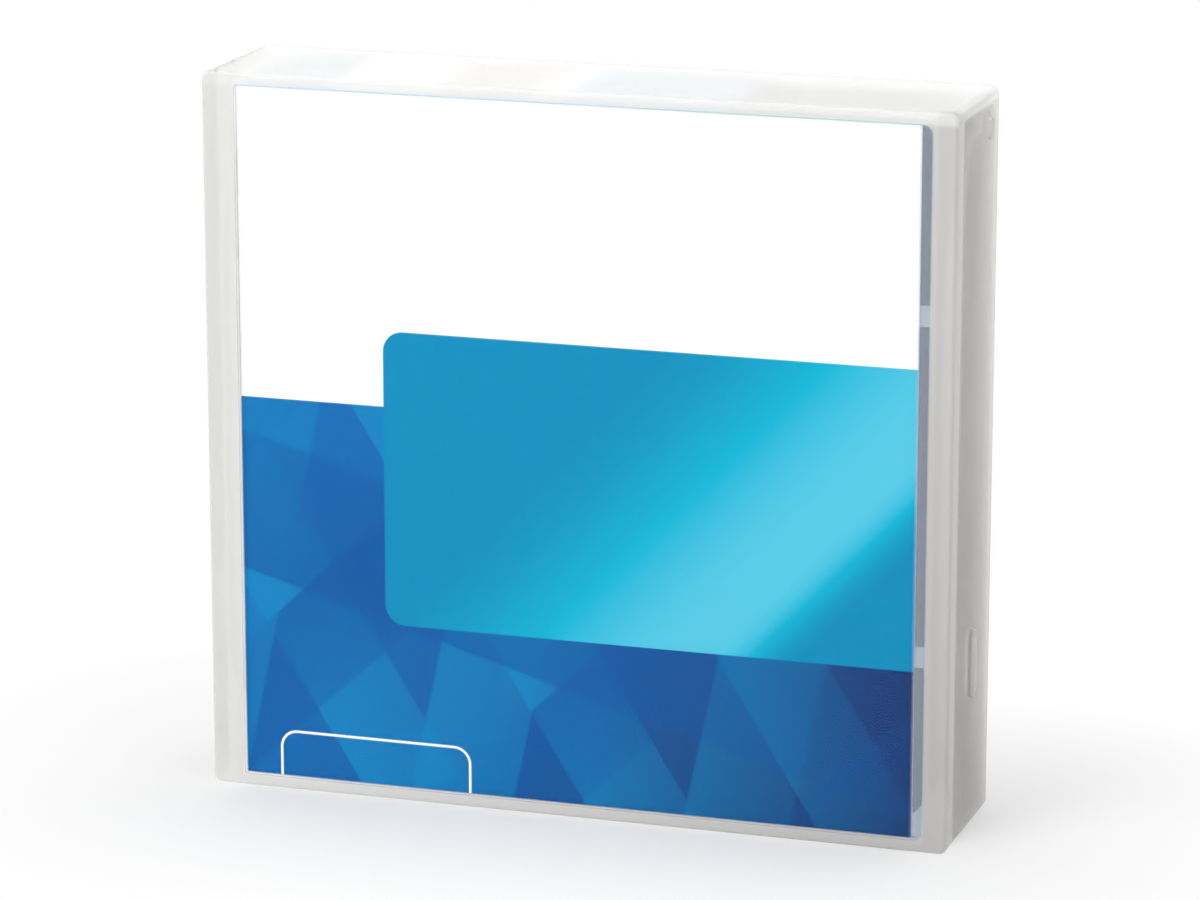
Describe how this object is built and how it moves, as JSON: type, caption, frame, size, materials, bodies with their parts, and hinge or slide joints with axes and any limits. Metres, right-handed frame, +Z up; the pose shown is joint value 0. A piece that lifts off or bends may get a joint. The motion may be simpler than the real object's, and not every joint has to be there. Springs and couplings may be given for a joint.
{
  "type": "data tape cartridge in storage case",
  "caption": "Half-inch data tape cartridge in a hinged translucent storage case with a printed card; reel, brake, sliding door and write-protect slider inside.",
  "frame": {"origin": "centre of the bottom of the case, which stands on its bottom end wall", "axes": "+Z up, towards the hinged spine; the front panel with the card faces -Y; +X is to the right of someone who looks at the front"},
  "size_m": [0.1178, 0.0254, 0.1125],
  "materials": {
    "case_plastic": "milky translucent moulded plastic, lightly glossy",
    "printed_card": "coated printed card",
    "black_plastic": "fine-grained moulded plastic",
    "white_plastic": "natural moulded plastic",
    "grey_plastic": "fine-grained moulded plastic",
    "red_plastic": "moulded plastic",
    "tape": "coated film, smooth",
    "plate_steel": "turned and polished",
    "screw_steel": "zinc plated",
    "spring_steel": "drawn wire",
    "chip_board": "lacquered circuit board"
  },
  "bodies": {
    "case": {"case_base": "case_plastic", "lower_shell": "black_plastic", "upper_shell": "black_plastic", "shell_screws": "screw_steel", "tape_free_end": "tape", "brake_spring": "spring_steel", "leader_pin": "plate_steel", "leader_clip": "white_plastic", "pin_springs": "spring_steel", "door_spring": "spring_steel", "memory_chip": "chip_board"},
    "lid": {"case_lid": "case_plastic", "insert_card": "printed_card"},
    "reel": {"reel_hub": "white_plastic", "reel_flange": "white_plastic", "drive_plate": "plate_steel", "tape_pack": "tape"},
    "brake": {"brake_button": "white_plastic"},
    "release": {"release_pad": "white_plastic"},
    "door": {"access_door": "grey_plastic"},
    "protect_slider": {"write_protect_tab": "red_plastic"}
  },
  "joints": [
    {"name": "lid_hinge", "type": "hinge", "parent": "case", "child": "lid", "pos_m": [0, 0.00895, 0.1066], "axis": [-1, 0, 0], "range_deg": [0, 90]},
    {"name": "reel_spin", "type": "hinge", "parent": "case", "child": "reel", "pos_m": [0.0035, 0.00115, 0.0575], "axis": [0, 1, 0], "continuous": true},
    {"name": "brake_lift", "type": "slide", "parent": "case", "child": "brake", "axis": [0, -1, 0], "range_m": [0, 0.0019], "stiffness_N_per_m": 600, "springref_m": -0.006, "deforming": ["brake_spring"]},
    {"name": "pad_lift", "type": "slide", "parent": "reel", "child": "release", "axis": [0, -1, 0], "range_m": [0, 0.0019]},
    {"name": "door_slide", "type": "slide", "parent": "case", "child": "door", "axis": [-1, 0, 0], "range_m": [0, 0.017], "stiffness_N_per_m": 25, "springref_m": -0.012, "deforming": ["door_spring"]},
    {"name": "protect_slide", "type": "slide", "parent": "case", "child": "protect_slider", "axis": [0, 0, 1], "range_m": [0, 0.0032]}
  ],
  "couplings": [
    {"joint": "pad_lift", "follows": "brake_lift", "ratio": 1}
  ]
}
